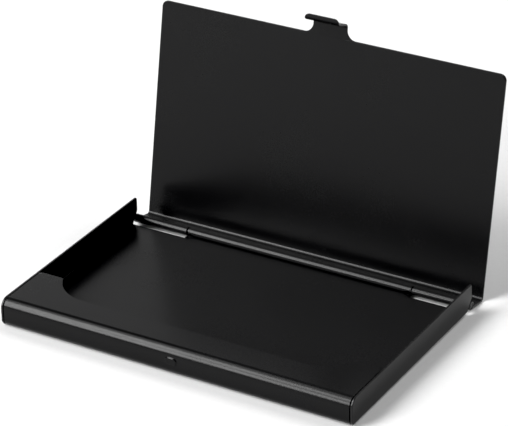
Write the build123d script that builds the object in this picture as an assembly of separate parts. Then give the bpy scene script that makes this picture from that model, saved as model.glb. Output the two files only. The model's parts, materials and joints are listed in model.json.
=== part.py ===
from build123d import *
import os
from math import acos, cos, degrees, radians, sin

# A card case of thin bent sheet metal: a tray and a lid, each one folded blank, on a wire hinge pin.
# Millimetres. X runs along the hinge, Y from the catch at the front to the hinge, Z up.
# The origin is the middle of the underside, on the surface that the tray stands on.

# ---- Driving dimensions ----
case_width = 94.0
case_depth = 60.0            # closed, from the front face to the back of the hinge barrel
sheet = 0.5                  # metal thickness, the same everywhere

# Tray
wall_height = 7.0            # underside to the top of the side walls and of the front lip
wall_bend_radius = 0.3       # inside radius where a side wall turns up from the floor
front_top_radius = 2.4       # outside radius, front face to lip
front_bottom_radius = 1.8    # outside radius, floor to front face
wall_front_gap = 0.25        # seam between the rolled front and each side wall
wall_rear_setback = 1.1      # side walls end this far in front of the barrel's back
wall_rear_radius = 0.5       # top rear corner, inside the lid's fold when shut
barrel_relief = 1.36         # clear distance from the hinge axis to the walls' cut-off corners
relief_slope = 52.5          # degrees from level of that cut
relief_corner_radius = 0.8
floor_rear_setback = 3.4     # the floor's back edge, beside the barrel

# Lip over the cards, with an ear along each side wall
lip_depth = 9.0             # front face to the lip's straight back edge
ear_depth = 15.8             # front face to the back of the ears
ear_width = 5.95             # side of the lip to the side of the cut-out
cutout_radius = 10.4
ear_corner_radius = 1.3
ear_outer_radius = 1.0

# Hinge
axis_height = 1.1             # the barrels lie level with the underside
barrel_radius = 1.1
pin_radius = 0.56            # the tray's barrel is rolled tight onto the pin
pin_clearance = 0.04         # radial, inside the lid's barrels
barrel_gap = 0.3             # between neighbouring barrels
tray_barrel_half = 31.3      # half the length of the tray's barrel
joggle_radius = 0.5          # inside radius of the small S-bends beside the barrels
tray_roll = 295.0            # degrees; its free edge stops just over the floor
lid_roll = 270.0
roll_corner = (2.2, 0.85)    # cut off each end of the tray roll's free edge, along X and Z
roll_corner_height = 0.1     # that cut starts this far over the floor

# Lid
lid_clearance = 0.05         # under the closed lid
lid_depth = 56.2             # back of the flange to the straight front edge
flange_setback = 0.4         # the flange stands this far in front of the barrel's back
fold_radius = 0.7            # inside radius, lid to flange
lid_corner_radius = 1.6
flange_gap = 0.3             # between the flange and the tray's barrel
notch_corner_radius = 0.3
open_angle = 101.0           # from closed to the open pose, which is the rest pose

# Finger tab on the lid's front edge
tab_width = 9.2
tab_fillet_radius = 2.4
tab_reach = 2.75              # straight edge of the lid to the start of the tab's bend
tab_bend_radius = 0.8
tab_bend_angle = 80.0
tab_drop = 3.2
flare_radius = 0.8
flare_angle = 80.0
flare_length = 0.45           # straight end of the finger lip
tab_tip_radius = 1.2

# Catch bump, pressed out of the front face
bump_width = 3.3
bump_height = 2.0
bump_rise = 0.28
bump_level = 3.75
bump_edge_radius = 0.2

# ---- Places worked out from them ----
front_y = -case_depth / 2
rear_y = case_depth / 2
half_width = case_width / 2
front_half_width = half_width - sheet - wall_front_gap
axis_y = rear_y - barrel_radius
hinge_axis = Axis((0, axis_y, axis_height), (1, 0, 0))
lid_bore_radius = pin_radius + pin_clearance
wall_rear_y = rear_y - wall_rear_setback
floor_rear_y = rear_y - floor_rear_setback
lid_underside = wall_height + lid_clearance
past = 5.0                   # how far a cutting shape runs past what it cuts


def bent_sheet(start, heading, steps):
    """Section of a bent sheet that follows its middle line from start, in degrees of heading.

    A step is a straight length, or (inside radius, turn), where a positive turn goes left."""
    point = Vector(*start)
    left_side = []
    right_side = []
    for step in steps:
        side = Vector(-sin(radians(heading)), cos(radians(heading))) * (sheet / 2)
        if isinstance(step, tuple):
            radius, turn = step
            towards = 1 if turn > 0 else -1
            spoke = side.normalized() * towards * (radius + sheet / 2)
            centre = point + spoke
            arms = [-spoke.rotate(Axis.Z, turn * part) for part in (0, 0.5, 1)]
            for edges, reach in ((left_side, radius + sheet / 2 - towards * sheet / 2),
                                 (right_side, radius + sheet / 2 + towards * sheet / 2)):
                edges.append(ThreePointArc(*[centre + arm.normalized() * reach for arm in arms]))
            point = centre + arms[-1]
            heading += turn
        else:
            ahead = Vector(cos(radians(heading)), sin(radians(heading))) * step
            left_side.append(Line(point + side, point + side + ahead))
            right_side.append(Line(point - side, point - side + ahead))
            point = point + ahead
    ends = [Line(left_side[0] @ 0, right_side[0] @ 0), Line(left_side[-1] @ 1, right_side[-1] @ 1)]
    return make_face(left_side + right_side + ends)


def joggle(offset):
    """Turn in degrees, and length, of an S-bend that shifts the sheet sideways by offset."""
    middle_radius = joggle_radius + sheet / 2
    turn = acos(1 - offset / (2 * middle_radius))
    return degrees(turn), 2 * middle_radius * sin(turn)


def along_x(section, x_from, x_to):
    """Solid with a section drawn in (Y, Z), from one X to another."""
    return extrude(Plane.YZ.offset(x_from) * section, amount=x_to - x_from)


def outline(*corners):
    """Flat face with corners given as (u, v, corner radius)."""
    face = make_face(Polyline(*[(u, v) for u, v, radius in corners], close=True))
    for u, v, radius in corners:
        if radius:
            face = fillet(face.vertices().sort_by_distance((u, v))[0], radius)
    return face


def rolled_front():
    """Lip, front face and floor, as one sheet between the side walls, with the lip cut out."""
    section = bent_sheet(
        (front_y + ear_depth, wall_height - sheet / 2), 180,
        [ear_depth - front_top_radius,
         (front_top_radius - sheet, 90),
         wall_height - front_top_radius - front_bottom_radius,
         (front_bottom_radius - sheet, 90),
         floor_rear_y - front_y - front_bottom_radius])
    front = along_x(section, -front_half_width, front_half_width)

    lip_back = front_y + lip_depth
    ear_back = front_y + ear_depth
    cut_side = front_half_width - ear_width
    level_area = Rectangle(2 * front_half_width, ear_depth, align=(Align.CENTER, Align.MIN))
    lip = Pos(0, front_y) * level_area - outline(
        (-cut_side, lip_back, cutout_radius), (cut_side, lip_back, cutout_radius),
        (cut_side, ear_back + past, 0), (-cut_side, ear_back + past, 0))
    ear_corners = lip.vertices().group_by(Axis.Y)[-1].sort_by(Axis.X)
    inner_corners = [(v.X, v.Y) for v in ear_corners[1:3]]
    outer_corners = [(v.X, v.Y) for v in (ear_corners[0], ear_corners[3])]
    for places, radius in ((inner_corners, ear_corner_radius), (outer_corners, ear_outer_radius)):
        for place in places:
            lip = fillet(lip.vertices().sort_by_distance(place)[0], radius)
    cut_away = Pos(0, front_y) * Rectangle(
        case_width, ear_depth + past, align=(Align.CENTER, Align.MIN)) - lip
    return front - extrude(Plane.XY.offset(wall_height / 2) * cut_away, amount=wall_height)


def floor_and_walls():
    """Floor with a side wall turned up at each end, its front rounded like the front face."""
    side_run = wall_height - sheet - wall_bend_radius
    channel = bent_sheet(
        (-half_width + sheet / 2, wall_height), -90,
        [side_run, (wall_bend_radius, 90),
         case_width - 2 * (sheet + wall_bend_radius),
         (wall_bend_radius, 90), side_run])
    channel = extrude(Plane.XZ.offset(-wall_rear_y) * channel, amount=wall_rear_y - front_y)

    # The lower rear corner is cut off along a line that stays clear of the turning barrels.
    slope = radians(relief_slope)
    line_height = axis_height + barrel_relief / cos(slope) + (wall_rear_y - axis_y) * sin(slope)
    relief_foot = wall_rear_y - line_height / (sin(slope) / cos(slope))
    side_view = outline(
        (front_y, 0, front_bottom_radius), (front_y, wall_height, front_top_radius),
        (wall_rear_y, wall_height, wall_rear_radius),
        (wall_rear_y, line_height, relief_corner_radius), (relief_foot, 0, 0))
    walls = channel & along_x(side_view, -half_width, half_width)

    inside = 2 * (half_width - sheet)
    front_opening = Pos(0, front_y) * Box(
        inside, 2 * front_bottom_radius, 3 * wall_height)
    floor_opening = Pos(0, floor_rear_y) * Box(
        inside, past, 2 * sheet, align=(Align.CENTER, Align.MIN, Align.CENTER))
    return walls - front_opening - floor_opening


def tray_barrel():
    """The floor's back edge, raised by an S-bend and rolled round the pin."""
    middle_radius = pin_radius + sheet / 2
    turn, run = joggle(axis_height - middle_radius - sheet / 2)
    start_y = floor_rear_y - sheet
    section = bent_sheet(
        (start_y, sheet / 2), 0,
        [axis_y - run - start_y,
         (joggle_radius, turn), (joggle_radius, -turn),
         (pin_radius, tray_roll)])
    barrel = along_x(section, -tray_barrel_half, tray_barrel_half)
    corner_x, corner_z = roll_corner
    edge_z = sheet + roll_corner_height
    for side in (-1, 1):
        end = side * tray_barrel_half
        corner = make_face(Polyline(
            (end, edge_z), (end - side * corner_x, edge_z), (end, edge_z + corner_z), close=True))
        barrel -= extrude(Plane.XZ.offset(-axis_y + pin_radius) * corner, amount=barrel_radius)
    return barrel


def catch_bump():
    """Pillow pressed out of the front face, and the hollow that it leaves behind."""
    face = Plane((0, front_y, bump_level), x_dir=(1, 0, 0), z_dir=(0, -1, 0))
    pillow = extrude(face.offset(-sheet / 2) * SlotOverall(bump_width, bump_height),
                     amount=sheet / 2 + bump_rise)
    pillow = fillet(pillow.edges().group_by(Axis.Y)[0], bump_edge_radius)
    hollow = extrude(face.offset(-sheet - bump_rise) * SlotOverall(bump_width - sheet, bump_height - sheet),
                     amount=2 * bump_rise)
    return pillow, hollow


def card_tray():
    pillow, hollow = catch_bump()
    return floor_and_walls() + rolled_front() + tray_barrel() + pillow - hollow


def lid():
    """Plate, finger tab, rear flange and the two end barrels, drawn closed and then opened."""
    middle_radius = lid_bore_radius + sheet / 2
    turn, run = joggle(flange_setback)
    flange_y = rear_y - flange_setback - sheet / 2
    plate_z = lid_underside + sheet / 2
    fold_middle = fold_radius + sheet / 2
    flange_run = plate_z - fold_middle - axis_height - run
    plate_run = flange_y - fold_middle - (rear_y - flange_setback - lid_depth) + tab_reach
    section = bent_sheet(
        (axis_y, axis_height + middle_radius), 180,
        [(lid_bore_radius, lid_roll),
         (joggle_radius, turn), (joggle_radius, -turn),
         flange_run, (fold_radius, 90), plate_run,
         (tab_bend_radius, tab_bend_angle), tab_drop,
         (flare_radius, -flare_angle), flare_length])
    blank = along_x(section, -half_width, half_width)

    front_edge = rear_y - flange_setback - lid_depth
    tab = tab_width / 2
    from_above = outline(
        (-half_width, rear_y + past, 0), (half_width, rear_y + past, 0),
        (half_width, front_edge, lid_corner_radius),
        (tab, front_edge, tab_fillet_radius), (tab, front_y - past, 0),
        (-tab, front_y - past, 0), (-tab, front_edge, tab_fillet_radius),
        (-half_width, front_edge, lid_corner_radius))
    blank &= extrude(Plane.XY.offset(-past) * from_above, amount=lid_underside + 2 * past)
    tab_end = blank.faces().sort_by(Axis.Y)[0]
    blank = fillet(tab_end.edges().sort_by(SortBy.LENGTH)[:2], tab_tip_radius)

    notch_half = tray_barrel_half + barrel_gap
    notch_top = axis_height + barrel_radius + flange_gap
    notch = outline(
        (-notch_half, -past, 0), (notch_half, -past, 0),
        (notch_half, notch_top, notch_corner_radius), (-notch_half, notch_top, notch_corner_radius))
    blank -= extrude(Plane.XZ.offset(-rear_y - past) * notch, amount=2 * past)
    return blank.rotate(hinge_axis, -open_angle)


def hinge_pin():
    pin = along_x(Pos(axis_y, axis_height) * Circle(pin_radius), -half_width, half_width)
    return chamfer(pin.edges().filter_by(GeomType.CIRCLE), pin_radius / 4)


os.makedirs("parts", exist_ok=True)
for name, make in (("card_tray", card_tray), ("lid", lid), ("hinge_pin", hinge_pin)):
    export_step(make(), f"parts/{name}.step")
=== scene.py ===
# The looks of the card case: two sheets of folded metal and a wire, coated satin black, in a white studio.
# Lengths are in millimetres and angles in degrees, unless a comment says otherwise.
import json
from math import acos, asin, cos, degrees, inf, pi, radians, sin, sqrt, tan

import bmesh
import bpy
from mathutils import Matrix, Vector
from mathutils.geometry import delaunay_2d_cdt


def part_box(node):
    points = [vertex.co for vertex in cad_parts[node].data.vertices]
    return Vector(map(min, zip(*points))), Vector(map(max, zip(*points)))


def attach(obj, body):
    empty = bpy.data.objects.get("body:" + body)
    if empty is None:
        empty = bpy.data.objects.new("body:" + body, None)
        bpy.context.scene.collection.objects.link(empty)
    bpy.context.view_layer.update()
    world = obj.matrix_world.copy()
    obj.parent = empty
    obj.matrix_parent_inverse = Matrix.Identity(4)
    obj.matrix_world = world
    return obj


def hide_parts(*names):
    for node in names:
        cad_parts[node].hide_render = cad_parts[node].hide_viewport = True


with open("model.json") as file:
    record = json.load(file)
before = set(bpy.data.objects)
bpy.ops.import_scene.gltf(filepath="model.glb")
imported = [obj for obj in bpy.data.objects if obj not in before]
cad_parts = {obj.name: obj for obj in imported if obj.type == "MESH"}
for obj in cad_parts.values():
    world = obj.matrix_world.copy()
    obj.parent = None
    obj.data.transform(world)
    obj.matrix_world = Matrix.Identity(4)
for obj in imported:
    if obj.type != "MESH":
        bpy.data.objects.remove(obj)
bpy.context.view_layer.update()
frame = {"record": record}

MM = 0.001

# ---- Sizes, from the frame where it gives them ----
hinge = frame["record"]["behaviour"]["joints"][0]
tray_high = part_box("card_tray")[1] / MM
pin_low, pin_high = [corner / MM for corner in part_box("hinge_pin")]

SHEET = 0.5
HALF_SHEET = SHEET / 2
EDGE_ROUNDING = 0.07                       # on every cut edge of the sheet
HALF_WIDTH = tray_high.x
WALL_TOP = tray_high.z
AXIS_Y, AXIS_Z = [value / MM for value in hinge["pos_m"][1:]]
OPEN_ANGLE = hinge["range_deg"][1]
PIN_RADIUS = (pin_high.z - pin_low.z) / 2
BARREL_RADIUS = 1.1
REAR_Y = AXIS_Y + BARREL_RADIUS
FRONT_Y = -REAR_Y
JOGGLE_RADIUS = 0.5                        # inside radius of the S-bends beside the barrels

# Tray
WALL_BEND = 0.3                            # inside radius where a side wall turns up
FRONT_TOP, FRONT_BOTTOM = 2.4, 1.8         # outside radii of the rolled front
SEAM = 0.25                                # between the rolled front and each side wall
FRONT_HALF_WIDTH = HALF_WIDTH - SHEET - SEAM
LIP_DEPTH, EAR_DEPTH, EAR_WIDTH = 9.0, 15.8, 5.95
LIP_BACK_Y, EAR_BACK_Y = FRONT_Y + LIP_DEPTH, FRONT_Y + EAR_DEPTH
CUTOUT_RADIUS, EAR_RADIUS, EAR_OUTER_RADIUS = 10.4, 1.3, 1.0
WALL_SETBACK, FLOOR_SETBACK = 1.1, 3.4     # of their back edges from the back of the barrels
WALL_BACK_Y, FLOOR_BACK_Y = REAR_Y - WALL_SETBACK, REAR_Y - FLOOR_SETBACK
WALL_BACK_RADIUS = 0.5                     # top rear corner of a side wall
RELIEF, RELIEF_RADIUS = 1.36, 0.8          # cut-off lower rear corner: distance from the hinge axis, rounding
RELIEF_SLOPE = radians(52.5)
TRAY_BARREL_HALF, BARREL_GAP = 31.3, 0.3
TRAY_ROLL = 295
ROLL_CORNER = (2.2, 0.75)                  # cut off each end of the barrel's free edge, along x and s

# Catch bump, pressed out of the front face
BUMP_WIDTH, BUMP_HEIGHT, BUMP_RISE, BUMP_Z = 3.3, 2.0, 0.28, 3.75
BUMP_SHOULDER = 0.24                       # width of its sloping side

# Lid
LID_BORE = PIN_RADIUS + 0.04
LID_ROLL = 270
LID_UNDERSIDE = WALL_TOP + 0.05            # with the lid shut
FLANGE_SETBACK, LID_DEPTH, FOLD_RADIUS, LID_CORNER = 0.4, 56.2, 0.7, 1.6
NOTCH_RADIUS = 0.3                         # corners of the flange's opening for the tray's barrel
TAB_HALF_WIDTH, TAB_FILLET, TAB_REACH = 4.6, 2.4, 2.75
TAB_BEND, TAB_BEND_ANGLE, TAB_DROP = 0.8, 80, 3.2
FLARE_RADIUS, FLARE_ANGLE, FLARE_LENGTH, TAB_TIP = 0.8, 80, 0.45, 1.2


# ---- Sheet metal: a flat blank in (x, s), folded along a line of bends ----
TINY = 1e-9
WELD = 1e-7
SPLIT_ONLY_AT_EDGES = 3                    # the triangulation's output that keeps whole faces
SHARP_ANGLE = 50
CREASE_PAST = 1.0                          # how far a crease runs past the blank


class Fold:
    """Middle line of a bent sheet in (y, z), followed by the distance s along it.

    A step is a straight length, or (inside radius, turn); a positive turn goes left.
    """

    def __init__(self, start, heading, steps):
        self.spans = []
        point, heading, s = Vector(start), radians(heading), 0.0
        for step in steps:
            if isinstance(step, tuple):
                radius, turn = step[0] + HALF_SHEET, radians(step[1])
                length = radius * abs(turn)
            else:
                turn, length = 0.0, step
            self.spans.append((s, length, point, heading, turn))
            point = self.follow(self.spans[-1], length)[0]
            heading += turn
            s += length
        self.length = s

    @staticmethod
    def follow(span, along):
        """Point and heading, in radians, some way along a span."""
        start, length, point, heading, turn = span
        if not turn:
            return point + Vector((cos(heading), sin(heading))) * along, heading
        radius = length / turn
        centre = point + Vector((-sin(heading), cos(heading))) * radius
        now = heading + along / radius
        return centre + Vector((sin(now), -cos(now))) * radius, now

    def place(self, x, s, off):
        """Point at (x, s) of the blank, off to the left of the middle line."""
        span = [each for each in self.spans if each[0] <= s + TINY or each is self.spans[0]][-1]
        point, heading = self.follow(span, s - span[0])
        return Vector((x, point.x - off * sin(heading), point.y + off * cos(heading)))

    def stations(self, step=6):
        """Every s where the blank needs a crease to follow its bends."""
        found = []
        for start, length, point, heading, turn in self.spans:
            parts = max(1, round(abs(turn) / radians(step)))
            found += [start + length * part / parts for part in range(parts)]
        return found[1:]

    def end_of(self, number):
        start, length = self.spans[number][:2]
        return start + length


def joggle(offset):
    """Turn, and length along the sheet, of an S-bend that shifts the sheet sideways."""
    radius = JOGGLE_RADIUS + HALF_SHEET
    turn = acos(1 - offset / (2 * radius))
    return degrees(turn), 2 * radius * sin(turn)


def arc(centre, radius, first, last, step):
    """Points on an arc from one angle to another."""
    parts = max(2, round(abs(last - first) / step))
    angles = [radians(first + (last - first) * part / parts) for part in range(parts + 1)]
    return [(centre[0] + radius * cos(angle), centre[1] + radius * sin(angle)) for angle in angles]


def rounded(*corners, step=7):
    """Closed outline with each (x, s, radius) corner rounded."""
    points = []
    for number, (x, s, radius) in enumerate(corners):
        here = Vector((x, s))
        to_last = (Vector(corners[number - 1][:2]) - here).normalized()
        to_next = (Vector(corners[(number + 1) % len(corners)][:2]) - here).normalized()
        if not radius:
            points.append((x, s))
            continue
        half = acos(to_last.dot(to_next)) / 2
        centre = here + (to_last + to_next).normalized() * radius / sin(half)
        first = here + to_last * radius / tan(half) - centre
        sweep = first.angle_signed(here + to_next * radius / tan(half) - centre)
        parts = max(3, round(abs(sweep) / radians(step)))
        for part in range(parts + 1):
            turned = Matrix.Rotation(-sweep * part / parts, 2) @ first
            points.append(tuple(centre + turned))
    return points


def inset(outline, distance):
    """The same outline, moved inwards; it has to run anticlockwise."""
    moved = []
    for number, point in enumerate(outline):
        here = Vector(point)
        before = (here - Vector(outline[number - 1])).normalized()
        after = (Vector(outline[(number + 1) % len(outline)]) - here).normalized()
        sides = [Vector((-edge.y, edge.x)) for edge in (before, after)]
        moved.append(tuple(here + (sides[0] + sides[1]) * distance / (1 + sides[0].dot(sides[1]))))
    return moved


def depth_inside(point, outline):
    """Distance from a point to the nearest edge of the outline."""
    nearest = inf
    for number, end in enumerate(outline):
        start = Vector(outline[number - 1])
        edge = Vector(end) - start
        along = min(1, max(0, (point - start).dot(edge) / edge.length_squared))
        nearest = min(nearest, (point - start - edge * along).length)
    return nearest


def stadium_rings(centre, width, height, depths, step=18):
    """Loops of points inside a stadium, one for each depth under its outline."""
    reach = (width - height) / 2
    rings = []
    for depth in depths:
        radius = height / 2 - depth
        right = arc((centre[0] + reach, centre[1]), radius, -90, 90, step)
        left = arc((centre[0] - reach, centre[1]), radius, 90, 270, step)
        rings.append(right + left)
    return rings


def blank_mesh(outline, creases, rings=()):
    """Flat faces inside the outline, cut along the creases, with loops for the rounded edge."""
    area = sum(a[0] * b[1] - b[0] * a[1] for a, b in zip(outline, outline[1:] + outline[:1]))
    if area < 0:
        outline = outline[::-1]
    halfway_round = EDGE_ROUNDING * (1 - sqrt(0.5))
    edge_loops = [outline, inset(outline, halfway_round), inset(outline, EDGE_ROUNDING)]
    points, edges = [], []
    for loops in (edge_loops, list(rings)):
        for level, loop in enumerate(loops):
            base = len(points)
            count = len(loop)
            points += loop
            edges += [(base + i, base + (i + 1) % count) for i in range(count)]
            if level:
                edges += [(base - count + i, base + i) for i in range(count)]
    for start, end in creases:
        points += [start, end]
        edges.append((len(points) - 2, len(points) - 1))
    whole = list(range(len(outline)))
    corners, _, faces, _, _, sources = delaunay_2d_cdt(
        [Vector(point) for point in points], edges, [whole], SPLIT_ONLY_AT_EDGES, WELD, True)
    return corners, [face for face, source in zip(faces, sources) if source], outline


def rim_edges(faces):
    """Edges that only one face has, each in that face's direction."""
    rim = {}
    for face in faces:
        for first, second in zip(face, face[1:] + face[:1]):
            if (second, first) in rim:
                del rim[(second, first)]
            else:
                rim[(first, second)] = True
    return list(rim)


def fold_blank(name, outline, creases, place, body, rings=(), dent=None):
    """Closed, folded sheet with rounded edges, as an object that rides on a body."""
    flat, faces, outline = blank_mesh(outline, creases, rings)
    builder = bmesh.new()
    skins = []
    for side in (1, -1):
        skin = []
        for point in flat:
            to_flat = max(0, EDGE_ROUNDING - depth_inside(point, outline))
            lost = EDGE_ROUNDING - sqrt(max(0, EDGE_ROUNDING ** 2 - to_flat ** 2))
            off = side * (HALF_SHEET - lost)
            if dent:
                off += dent(point, side)
            skin.append(builder.verts.new(place(point.x, point.y, off) * MM))
        skins.append(skin)
    for face in faces:
        builder.faces.new([skins[0][i] for i in face])
        builder.faces.new([skins[1][i] for i in reversed(face)])
    for first, second in rim_edges(faces):
        quad = (skins[0][second], skins[0][first], skins[1][first], skins[1][second])
        builder.faces.new(quad).material_index = 1
    loose = [vert for vert in builder.verts if not vert.link_faces]
    bmesh.ops.delete(builder, geom=loose, context="VERTS")
    return finish_piece(name, builder, body)


def finish_piece(name, builder, body):
    """Object from a mesh, smooth over its bends and flat on its flats, riding on a body."""
    bmesh.ops.recalc_face_normals(builder, faces=builder.faces)
    mesh = bpy.data.meshes.new(name)
    builder.to_mesh(mesh)
    builder.free()
    mesh.shade_smooth()
    mesh.set_sharp_from_angle(angle=radians(SHARP_ANGLE))
    piece = bpy.data.objects.new(name, mesh)
    bpy.context.scene.collection.objects.link(piece)
    shading = piece.modifiers.new("flat_faces", "WEIGHTED_NORMAL")
    shading.keep_sharp = True
    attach(piece, body)
    return piece


# ---- Tray: from the back of the ears, over the rolled front and along the floor, to the barrel ----
tray_joggle, tray_run = joggle(AXIS_Z - PIN_RADIUS - SHEET)
tray_fold = Fold((EAR_BACK_Y, WALL_TOP - HALF_SHEET), 180, [
    EAR_BACK_Y - FRONT_Y - FRONT_TOP, (FRONT_TOP - SHEET, 90),
    WALL_TOP - FRONT_TOP - FRONT_BOTTOM, (FRONT_BOTTOM - SHEET, 90),
    AXIS_Y - tray_run - FRONT_Y - FRONT_BOTTOM,
    (JOGGLE_RADIUS, tray_joggle), (JOGGLE_RADIUS, -tray_joggle), (PIN_RADIUS, TRAY_ROLL)])
front_end = tray_fold.end_of(3)                # s where the rolled front meets the floor
bump_s = tray_fold.end_of(1) + WALL_TOP - FRONT_TOP - BUMP_Z

# A side wall's bend, at the middle of the sheet
bend_radius = WALL_BEND + HALF_SHEET
bend_start = HALF_WIDTH - SHEET - WALL_BEND
bend_end = bend_start + bend_radius * pi / 2   # across the blank
bend_top = SHEET + WALL_BEND
seam_turn = asin(WALL_BEND / bend_radius)      # radians, as far out as the wall's inner face
crease_turns = [seam_turn * part / 2 for part in (1, 2)]
crease_turns += [seam_turn + (pi / 2 - seam_turn) * part / 4 for part in (1, 2, 3, 4)]

# A wall's lower rear corner is cut off, from its back edge to the underside
relief_z = AXIS_Z + RELIEF / cos(RELIEF_SLOPE) + (WALL_BACK_Y - AXIS_Y) * tan(RELIEF_SLOPE)
relief_foot_y = WALL_BACK_Y - relief_z / tan(RELIEF_SLOPE)


def bend_height(turned):
    """Height of the middle of the sheet, part of the way round a wall's bend."""
    return bend_top - bend_radius * cos(turned)


def floor_s(y):
    return front_end + y - FRONT_Y - FRONT_BOTTOM


def wall_point(y, z):
    """Point of the blank that becomes (y, z) of the right wall."""
    if z >= bend_top:
        across = bend_end + z - bend_top
    else:
        across = bend_start + bend_radius * acos(min(1, (bend_top - z) / bend_radius))
    return across, floor_s(y)


def place_on_tray(x, s, off):
    """Point at (x, s) of the tray's blank, off to the inner side of the sheet."""
    beyond = abs(x) - bend_start
    middle_of_seam = (FRONT_HALF_WIDTH + HALF_WIDTH - SHEET) / 2
    if beyond <= 0 or (s < front_end and abs(x) < middle_of_seam):
        return tray_fold.place(x, s, off)
    turned = min(beyond / bend_radius, pi / 2)
    side = 1 if x > 0 else -1
    straight = max(0, abs(x) - bend_end)
    out = bend_start + (bend_radius - off) * sin(turned)
    up = bend_top - (bend_radius - off) * cos(turned) + straight
    return Vector((side * out, s - front_end + FRONT_Y + FRONT_BOTTOM, up))


def lip_edge():
    """Right half of the lip's free edge: the curved cut-out, then the two corners of the ear."""
    cut_centre = (FRONT_HALF_WIDTH - EAR_WIDTH - CUTOUT_RADIUS, LIP_BACK_Y + CUTOUT_RADIUS)
    ear_y = EAR_BACK_Y - EAR_RADIUS
    apart = CUTOUT_RADIUS + EAR_RADIUS
    fall = asin((cut_centre[1] - ear_y) / apart)
    ear_centre = (cut_centre[0] + apart * cos(fall), ear_y)
    outer_centre = (FRONT_HALF_WIDTH - EAR_OUTER_RADIUS, EAR_BACK_Y - EAR_OUTER_RADIUS)
    edge = arc(cut_centre, CUTOUT_RADIUS, -90, -degrees(fall), step=4)
    edge += arc(ear_centre, EAR_RADIUS, 180 - degrees(fall), 90, step=8)[1:]
    edge += arc(outer_centre, EAR_OUTER_RADIUS, 90, 0, step=12)
    return [(x, EAR_BACK_Y - y) for x, y in edge]


def wall_edge():
    """Edge of the right wall, from the rolled front over its top to the cut at its rear."""
    front_low = degrees(asin((FRONT_BOTTOM - bend_height(seam_turn)) / FRONT_BOTTOM))
    edge = arc((FRONT_Y + FRONT_BOTTOM, FRONT_BOTTOM), FRONT_BOTTOM, 180 + front_low, 180, step=8)
    edge += arc((FRONT_Y + FRONT_TOP, WALL_TOP - FRONT_TOP), FRONT_TOP, 180, 90, step=8)
    back_centre = (WALL_BACK_Y - WALL_BACK_RADIUS, WALL_TOP - WALL_BACK_RADIUS)
    edge += arc(back_centre, WALL_BACK_RADIUS, 90, 0, step=15)
    knee_turn = pi / 2 - RELIEF_SLOPE
    knee_centre = (WALL_BACK_Y - RELIEF_RADIUS, relief_z + RELIEF_RADIUS * tan(knee_turn / 2))
    edge += arc(knee_centre, RELIEF_RADIUS, 0, -degrees(knee_turn), step=8)
    heights = [bend_height(turned) for turned in reversed(crease_turns)]
    edge += [(relief_foot_y + z / tan(RELIEF_SLOPE), z) for z in heights]
    return [wall_point(y, z) for y, z in edge]


def tray_outline():
    """Whole blank; its right half runs from the middle of the lip to the free edge of the barrel."""
    wall = wall_edge()
    foot_z = bend_height((FRONT_HALF_WIDTH - bend_start) / bend_radius)
    corner_x, corner_s = ROLL_CORNER
    half = lip_edge() + [(FRONT_HALF_WIDTH, front_end), (wall[0][0], front_end)] + wall
    half.append((FRONT_HALF_WIDTH, floor_s(relief_foot_y + foot_z / tan(RELIEF_SLOPE))))
    half.append((FRONT_HALF_WIDTH, floor_s(FLOOR_BACK_Y)))
    half.append((TRAY_BARREL_HALF, floor_s(FLOOR_BACK_Y)))
    half.append((TRAY_BARREL_HALF, tray_fold.length - corner_s))
    half.append((TRAY_BARREL_HALF - corner_x, tray_fold.length))
    return half + [(-x, s) for x, s in reversed(half)]


def tray_creases():
    """Creases across the fold, and along the bend of each wall behind the rolled front."""
    beyond = bend_end + WALL_TOP + CREASE_PAST
    creases = [((-beyond, s), (beyond, s)) for s in tray_fold.stations()]
    for number, turned in enumerate(crease_turns):
        across = bend_start + bend_radius * turned
        start = front_end - (0 if number == 0 else FRONT_BOTTOM + CREASE_PAST / 2)
        creases += [((side * across, start), (side * across, floor_s(REAR_Y))) for side in (1, -1)]
    return creases


def bump_shift(point, side):
    """What the bump adds to a skin's offset, inwards being positive; its hollow is a little smaller."""
    across = max(0, abs(point.x) - (BUMP_WIDTH - BUMP_HEIGHT) / 2)
    inside = BUMP_HEIGHT / 2 - sqrt(across ** 2 + (point.y - bump_s) ** 2)
    if side > 0:
        inside -= HALF_SHEET
    part = min(1, max(0, inside / BUMP_SHOULDER))
    return -BUMP_RISE * part * part * (3 - 2 * part)


def make_tray():
    shoulders = [BUMP_SHOULDER * part / 5 for part in range(11)]
    top = [BUMP_HEIGHT / 2 * part for part in (0.6, 0.75, 0.88)]
    rings = stadium_rings((0, bump_s), BUMP_WIDTH, BUMP_HEIGHT, shoulders + top)
    tray = fold_blank("tray_sheet", tray_outline(), tray_creases(), place_on_tray, "base", rings, bump_shift)
    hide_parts("card_tray")
    return tray


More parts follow.
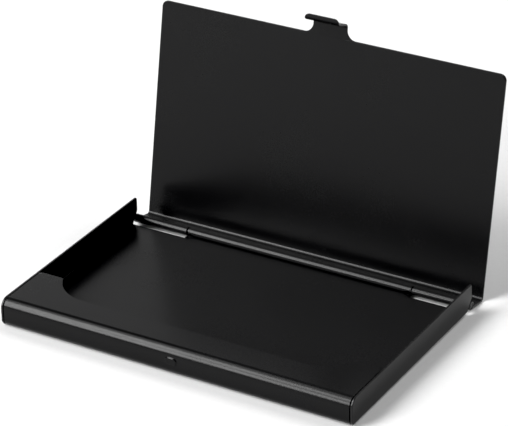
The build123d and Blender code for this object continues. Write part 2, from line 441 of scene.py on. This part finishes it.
# ---- Lid: from the free edge of its barrels up the flange and over the plate to the finger lip ----
def make_lid():
    turn, run = joggle(FLANGE_SETBACK)
    flange_y = REAR_Y - FLANGE_SETBACK - HALF_SHEET
    fold_middle = FOLD_RADIUS + HALF_SHEET
    fold_z = LID_UNDERSIDE + HALF_SHEET - fold_middle
    plate_length = flange_y - fold_middle - (REAR_Y - FLANGE_SETBACK - LID_DEPTH)
    fold = Fold((AXIS_Y, AXIS_Z + LID_BORE + HALF_SHEET), 180, [
        (LID_BORE, LID_ROLL), (JOGGLE_RADIUS, turn), (JOGGLE_RADIUS, -turn),
        fold_z - AXIS_Z - run, (FOLD_RADIUS, 90), plate_length + TAB_REACH,
        (TAB_BEND, TAB_BEND_ANGLE), TAB_DROP, (FLARE_RADIUS, -FLARE_ANGLE), FLARE_LENGTH])
    edge_s = fold.end_of(4) + plate_length
    notch_s = fold.end_of(3) - (fold_z - AXIS_Z - BARREL_RADIUS - BARREL_GAP)
    notch_half = TRAY_BARREL_HALF + BARREL_GAP
    outline = rounded(
        (-HALF_WIDTH, 0, 0), (-notch_half, 0, 0), (-notch_half, notch_s, NOTCH_RADIUS),
        (notch_half, notch_s, NOTCH_RADIUS), (notch_half, 0, 0), (HALF_WIDTH, 0, 0),
        (HALF_WIDTH, edge_s, LID_CORNER), (TAB_HALF_WIDTH, edge_s, TAB_FILLET),
        (TAB_HALF_WIDTH, fold.length, TAB_TIP), (-TAB_HALF_WIDTH, fold.length, TAB_TIP),
        (-TAB_HALF_WIDTH, edge_s, TAB_FILLET), (-HALF_WIDTH, edge_s, LID_CORNER))
    beyond = HALF_WIDTH + CREASE_PAST
    creases = [((-beyond, s), (beyond, s)) for s in fold.stations()]
    opening = Matrix.Translation((0, AXIS_Y, AXIS_Z)) @ Matrix.Rotation(
        -radians(OPEN_ANGLE), 4, "X") @ Matrix.Translation((0, -AXIS_Y, -AXIS_Z))

    def place(x, s, off):
        return opening @ fold.place(x, s, off)

    lid = fold_blank("lid_sheet", outline, creases, place, "lid")
    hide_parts("lid")
    return lid


# ---- Hinge pin ----
def make_pin():
    """Wire with both ends rounded over."""
    rounding = 0.3 * PIN_RADIUS
    around = 48
    profile = arc((pin_high.x - rounding, PIN_RADIUS - rounding), rounding, 90, 0, step=15)
    profile = [(-x, radius) for x, radius in reversed(profile)] + profile
    builder = bmesh.new()
    loops = []
    for x, radius in profile:
        loops.append([builder.verts.new(Vector((
            x, AXIS_Y + radius * cos(2 * pi * i / around),
            AXIS_Z + radius * sin(2 * pi * i / around))) * MM) for i in range(around)])
    for first, second in zip(loops, loops[1:]):
        for i in range(around):
            j = (i + 1) % around
            builder.faces.new((first[i], first[j], second[j], second[i]))
    builder.faces.new(loops[0])
    builder.faces.new(loops[-1][::-1])
    pin = finish_piece("pin_wire", builder, "base")
    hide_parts("hinge_pin")
    return pin


# ---- Materials ----
# Scales of the noises, per metre
CLOUDS, ORANGE_PEEL, SPECKLE, PAPER_FIBRES = 45, 700, 2600, 900
WIRE_LINES = (60, 6000, 6000)              # along X, Y and Z
NOISE_LOW, NOISE_HIGH = 0.3, 0.7           # nearly all of a noise's values lie between them
DARK_PART, LIGHT_PART = 0.75, 1.3          # of the coating's tone
CLOUD_SHEEN, SPECKLE_SHEEN = 0.035, 0.03   # change of roughness, either way
PEEL_DEPTH, SPECKLE_DEPTH, LINE_DEPTH = 12e-6, 5e-6, 6e-6      # metres


class Nodes:
    """A material's node tree, with short calls to add and join nodes."""

    def __init__(self, name):
        self.material = bpy.data.materials.new(name)
        self.material.use_nodes = True
        self.tree = self.material.node_tree
        self.shader = self.tree.nodes["Principled BSDF"]
        self.where = self.add("ShaderNodeTexCoord").outputs["Object"]

    def add(self, kind, settings=(), **inputs):
        node = self.tree.nodes.new(kind)
        for key, value in dict(settings).items():
            setattr(node, key, value)
        for key, value in inputs.items():
            socket = node.inputs[key.replace("_", " ")]
            if isinstance(value, bpy.types.NodeSocket):
                self.tree.links.new(value, socket)
            else:
                socket.default_value = value
        return node

    def join(self, output, socket):
        self.tree.links.new(output, self.shader.inputs[socket])

    def noise(self, where, scale, detail):
        return self.add("ShaderNodeTexNoise", Vector=where, Scale=scale, Detail=detail).outputs["Fac"]

    def spread(self, value, low, high):
        """A noise stretched to run from low to high."""
        return self.add("ShaderNodeMapRange", Value=value, From_Min=NOISE_LOW, From_Max=NOISE_HIGH,
                        To_Min=low, To_Max=high).outputs["Result"]

    def colour(self, factor, first, second):
        """Base colour that goes from one colour to another as the factor goes from 0 to 1."""
        mix = self.add("ShaderNodeMix", {"data_type": "RGBA"})
        self.tree.links.new(factor, mix.inputs["Factor"])
        mix.inputs["A"].default_value = (*first, 1)
        mix.inputs["B"].default_value = (*second, 1)
        self.join(mix.outputs["Result"], "Base Color")


def black_coating(name, tone, roughness, gloss, grain):
    """Satin black coating: a fine even grain, and slow cloudy changes in its sheen."""
    nodes = Nodes(name)
    clouds = nodes.noise(nodes.where, CLOUDS, 4)
    speckle = nodes.noise(nodes.where, SPECKLE, 2)
    orange_peel = nodes.noise(nodes.where, ORANGE_PEEL, 1)
    nodes.colour(clouds, [DARK_PART * part for part in tone], [LIGHT_PART * part for part in tone])
    slow = nodes.spread(clouds, roughness - CLOUD_SHEEN, roughness + CLOUD_SHEEN)
    fast = nodes.spread(speckle, -SPECKLE_SHEEN, SPECKLE_SHEEN)
    total = nodes.add("ShaderNodeMath", {"operation": "ADD"})
    nodes.tree.links.new(slow, total.inputs[0])
    nodes.tree.links.new(fast, total.inputs[1])
    nodes.join(total.outputs["Value"], "Roughness")
    wide = nodes.add("ShaderNodeBump", Height=orange_peel, Strength=grain, Distance=PEEL_DEPTH)
    fine = nodes.add("ShaderNodeBump", Height=speckle, Strength=grain, Distance=SPECKLE_DEPTH,
                     Normal=wide.outputs["Normal"])
    nodes.join(fine.outputs["Normal"], "Normal")
    nodes.shader.inputs["Specular IOR Level"].default_value = gloss
    return nodes.material


def blackened_wire():
    """Drawn wire, blackened: fine lines along its length."""
    nodes = Nodes("blackened_wire")
    stretched = nodes.add("ShaderNodeMapping", Vector=nodes.where, Scale=WIRE_LINES).outputs["Vector"]
    lines = nodes.noise(stretched, 1, 2)
    nodes.colour(lines, (0.02, 0.02, 0.021), (0.06, 0.06, 0.062))
    nodes.join(nodes.spread(lines, 0.28, 0.42), "Roughness")
    bump = nodes.add("ShaderNodeBump", Height=lines, Strength=0.4, Distance=LINE_DEPTH)
    nodes.join(bump.outputs["Normal"], "Normal")
    nodes.shader.inputs["Metallic"].default_value = 0.7
    return nodes.material


def paper_floor():
    """Matt white paper, with a trace of fibres."""
    nodes = Nodes("studio_paper")
    fibres = nodes.noise(nodes.where, PAPER_FIBRES, 3)
    nodes.colour(fibres, (0.66, 0.66, 0.66), (0.70, 0.70, 0.70))
    nodes.shader.inputs["Roughness"].default_value = 0.9
    nodes.shader.inputs["Specular IOR Level"].default_value = 0.1
    return nodes.material


# ---- Studio ----
FLOOR_REACH = 4.0                          # metres, each way from the middle
FLOOR_GAP = 0.03                           # millimetres between the case and the paper
LIGHT_DISTANCE = 1.4                       # metres
# Name, azimuth, elevation, width and height in metres, brightness
SOFTBOXES = (
    ("key_low", -30, 24, 0.5, 0.5, 18.0),
    ("key_high", -47, 46, 0.5, 0.7, 17.0),
    ("left_top", -78, 62, 0.6, 0.4, 4.0),
    ("back_right", 142, 46, 0.9, 0.8, 5.5),
    ("back_left_low", -125, 10, 0.8, 0.3, 3.0),
    ("back_left", -145, 24, 1.4, 0.7, 0.75),
    ("back_top", 180, 60, 1.1, 0.7, 0.6),
)
WORLD_SEEN, WORLD_LIGHT = 1.0, 0.06        # strength for the camera, and for all else
BLACK_LEVEL = (0.004, 0.004, 0.004)        # of the picture: what is darker comes out black
LENS, SENSOR_WIDTH = 197.05, 36
CAMERA_AZIMUTH, CAMERA_ELEVATION, CAMERA_ROLL = 31.035, 28.090, -1.413
CAMERA_TARGET, CAMERA_DISTANCE = (5.6, -0.95, 29.7), 640       # millimetres


def toward(azimuth, elevation):
    """Unit vector to a point round the object; azimuth 0 is in front, 90 on the right."""
    a, e = radians(azimuth), radians(elevation)
    return Vector((sin(a) * cos(e), -cos(a) * cos(e), sin(e)))


def softbox(name, azimuth, elevation, width, height, brightness):
    """Lit panel facing the object; brightness is its radiance, the white paper's being about 1."""
    light = bpy.data.lights.new(name, "AREA")
    light.shape = "RECTANGLE"
    light.size, light.size_y = width, height
    light.energy = brightness * pi * width * height
    lamp = bpy.data.objects.new(name, light)
    direction = toward(azimuth, elevation)
    lamp.location = direction * LIGHT_DISTANCE
    lamp.rotation_euler = direction.to_track_quat("Z", "Y").to_euler()
    bpy.context.scene.collection.objects.link(lamp)


def make_floor():
    """Paper under the open case, which stands on its rolled front and the lid's fold, a little lower."""
    fold_y = AXIS_Y + (LID_UNDERSIDE - FOLD_RADIUS - AXIS_Z) * sin(radians(OPEN_ANGLE))
    slope = -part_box("lid")[0].z / MM / (fold_y - FRONT_Y - FRONT_BOTTOM)
    level = (FRONT_Y + FRONT_BOTTOM) * MM * slope - FLOOR_GAP * MM
    corners = [(-FLOOR_REACH, -FLOOR_REACH), (FLOOR_REACH, -FLOOR_REACH),
               (FLOOR_REACH, FLOOR_REACH), (-FLOOR_REACH, FLOOR_REACH)]
    mesh = bpy.data.meshes.new("studio_floor")
    mesh.from_pydata([(x, y, level - slope * y) for x, y in corners], [], [(0, 1, 2, 3)])
    mesh.materials.append(paper_floor())
    floor = bpy.data.objects.new("studio_floor", mesh)
    bpy.context.scene.collection.objects.link(floor)


def make_world():
    """White behind the object; it gives little light, which comes from the softboxes instead."""
    world = bpy.data.worlds.new("studio")
    world.use_nodes = True
    tree = world.node_tree
    background = tree.nodes["Background"]
    background.inputs["Color"].default_value = (1, 1, 1, 1)
    seen = tree.nodes.new("ShaderNodeLightPath").outputs["Is Camera Ray"]
    strength = tree.nodes.new("ShaderNodeMapRange")
    strength.inputs["To Min"].default_value = WORLD_LIGHT
    strength.inputs["To Max"].default_value = WORLD_SEEN
    tree.links.new(seen, strength.inputs["Value"])
    tree.links.new(strength.outputs["Result"], background.inputs["Strength"])
    bpy.context.scene.world = world


def set_view():
    view = bpy.context.scene.view_settings
    view.view_transform = "Standard"
    view.use_curve_mapping = True
    view.curve_mapping.black_level = BLACK_LEVEL
    view.curve_mapping.update()


def make_camera():
    """Camera to the right of the case's front, looking down on it."""
    camera = bpy.data.cameras.new("camera")
    camera.sensor_width = SENSOR_WIDTH
    camera.lens = LENS
    viewer = bpy.data.objects.new("camera", camera)
    direction = toward(CAMERA_AZIMUTH, CAMERA_ELEVATION)
    viewer.location = Vector(CAMERA_TARGET) * MM + direction * CAMERA_DISTANCE * MM
    level = direction.to_track_quat("Z", "Y").to_matrix()
    viewer.rotation_euler = (level @ Matrix.Rotation(radians(CAMERA_ROLL), 3, "Z")).to_euler()
    bpy.context.scene.collection.objects.link(viewer)
    bpy.context.scene.camera = viewer


coating = black_coating(
    "black_coating", tone=(0.0034, 0.0034, 0.0036), roughness=0.24, gloss=0.16, grain=0.22)
cut_edge = black_coating(
    "coated_cut_edge", tone=(0.0045, 0.0045, 0.0047), roughness=0.26, gloss=0.30, grain=0.3)
for sheet in (make_tray(), make_lid()):
    sheet.data.materials.append(coating)
    sheet.data.materials.append(cut_edge)
make_pin().data.materials.append(blackened_wire())
make_floor()
make_world()
for panel in SOFTBOXES:
    softbox(*panel)
set_view()
make_camera()
